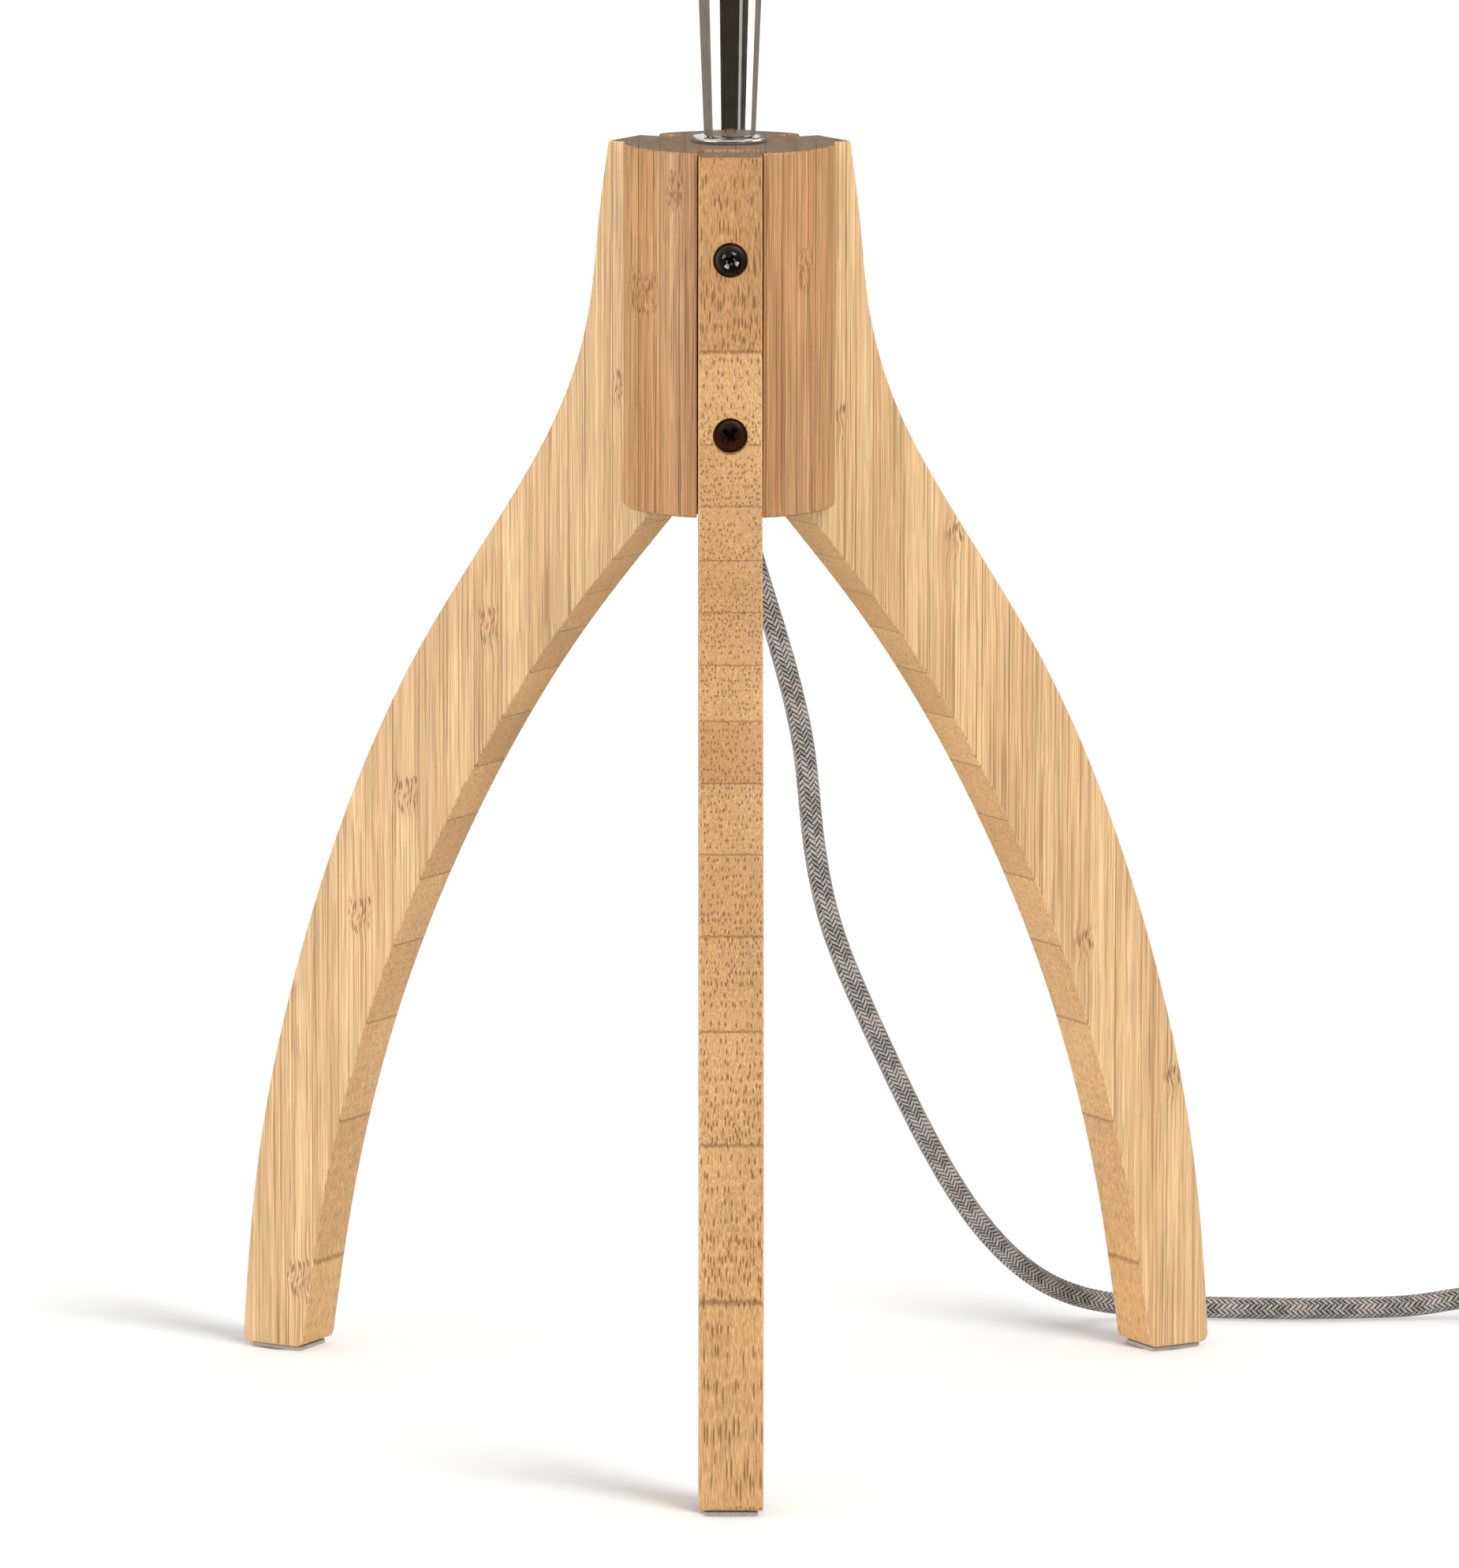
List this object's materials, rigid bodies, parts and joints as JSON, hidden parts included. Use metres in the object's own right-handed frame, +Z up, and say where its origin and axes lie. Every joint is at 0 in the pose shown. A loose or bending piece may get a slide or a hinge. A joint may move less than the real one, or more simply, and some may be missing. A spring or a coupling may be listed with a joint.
{
  "type": "tripod lamp",
  "caption": "Lamp on three curved bamboo legs let into a turned hub, with a flared chrome neck, a fabric drum shade and a braided lead with an in-line switch.",
  "frame": {"origin": "on the lamp's axis, on the surface that the feet stand on", "axes": "+Z up along the stem; the front leg points along -Y and the lead leaves towards +X"},
  "size_m": [0.5413, 0.32, 0.64],
  "materials": {
    "bamboo": "satin clear coat",
    "chrome": "polished",
    "black_steel": "black zinc",
    "zinc_steel": "satin",
    "brass": "satin",
    "grey_braid": "braided",
    "grey_plastic": "matt",
    "black_plastic": "matt",
    "white_plastic": "matt",
    "pad_felt": "felt",
    "frosted_globe": "frosted",
    "linen": "laminated cloth",
    "brown_wire": "matt",
    "blue_wire": "matt"
  },
  "bodies": {
    "lamp": {"hub": "bamboo", "leg_front": "bamboo", "leg_right": "bamboo", "leg_left": "bamboo", "leg_screw_front_upper": "black_steel", "leg_screw_front_lower": "black_steel", "leg_screw_right_upper": "black_steel", "leg_screw_right_lower": "black_steel", "leg_screw_left_upper": "black_steel", "leg_screw_left_lower": "black_steel", "foot_pad_front": "pad_felt", "foot_pad_right": "pad_felt", "foot_pad_left": "pad_felt", "threaded_tube": "zinc_steel", "bottom_nut": "zinc_steel", "bottom_washer": "zinc_steel", "flange": "chrome", "neck": "chrome", "neck_cup": "chrome", "holder_cap": "black_plastic", "holder_shell": "black_plastic", "holder_insert": "white_plastic", "screw_shell": "brass", "centre_contact": "brass", "inner_lead": "grey_plastic", "wire_live": "brown_wire", "wire_neutral": "blue_wire", "cord_boot": "grey_plastic", "cord_run": "grey_braid", "cord_link": "grey_braid", "cord_coil": "grey_braid", "cord_tail": "grey_braid", "coil_tie": "black_plastic", "switch_lower": "grey_plastic", "switch_upper": "grey_plastic", "switch_contact": "brass", "switch_screw_1": "zinc_steel", "switch_screw_2": "zinc_steel", "plug_body": "grey_plastic", "plug_pin_1": "brass", "plug_pin_2": "brass"},
    "bulb": {"bulb_contact": "zinc_steel", "bulb_insulator": "black_plastic", "bulb_cap": "zinc_steel", "bulb_body": "white_plastic", "led_board": "white_plastic", "bulb_globe": "frosted_globe"},
    "shade": {"shade_skin": "linen", "shade_top_ring": "zinc_steel", "shade_bottom_ring": "zinc_steel", "shade_carrier": "zinc_steel"},
    "ring": {"clamp_ring": "black_plastic"},
    "rocker": {"switch_rocker": "black_plastic"}
  },
  "joints": [
    {"name": "bulb_unscrew", "type": "hinge", "parent": "lamp", "child": "bulb", "pos_m": [0, 0, 0.5], "axis": [0, 0, 1], "range_deg": [0, 1080]},
    {"name": "shade_turn", "type": "hinge", "parent": "lamp", "child": "shade", "pos_m": [0, 0, 0.49], "axis": [0, 0, 1], "range_deg": [-180, 180]},
    {"name": "ring_unscrew", "type": "hinge", "parent": "lamp", "child": "ring", "pos_m": [0, 0, 0.495], "axis": [0, 0, 1], "range_deg": [0, 1080]},
    {"name": "switch_rock", "type": "hinge", "parent": "lamp", "child": "rocker", "pos_m": [0.262, 0.114, 0.0146], "axis": [0, 1, 0], "range_deg": [-16, 0]}
  ]
}
